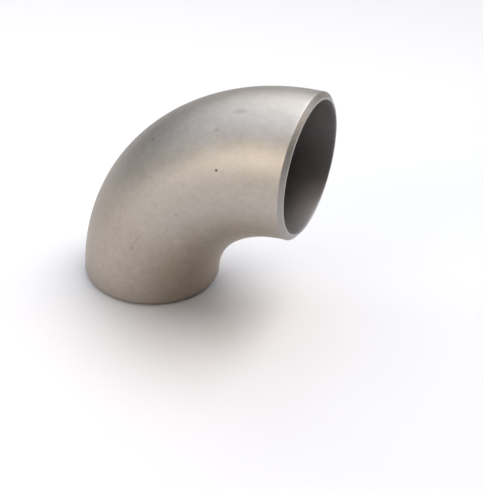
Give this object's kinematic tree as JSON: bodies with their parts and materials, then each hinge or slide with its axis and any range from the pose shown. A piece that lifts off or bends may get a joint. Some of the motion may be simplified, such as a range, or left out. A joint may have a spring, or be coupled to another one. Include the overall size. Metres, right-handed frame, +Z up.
{
  "type": "pipe elbow",
  "caption": "Seamless 90 degree long-radius pipe elbow in stainless steel, with a weld bevel and a flat land at each port.",
  "frame": {"origin": "middle of the bounding box, on the base plane that the lower port's land rests on", "axes": "+X is the way the upper port faces, +Z is up along the lower port's axis and away from its face, and the bend lies in the XZ plane"},
  "size_m": [0.0812, 0.0484, 0.0813],
  "materials": {
    "stainless_steel": "dull grey stainless steel, shot blasted and pickled, with machined ends"
  },
  "bodies": {
    "root": {"elbow_body": "stainless_steel"}
  },
  "joints": []
}
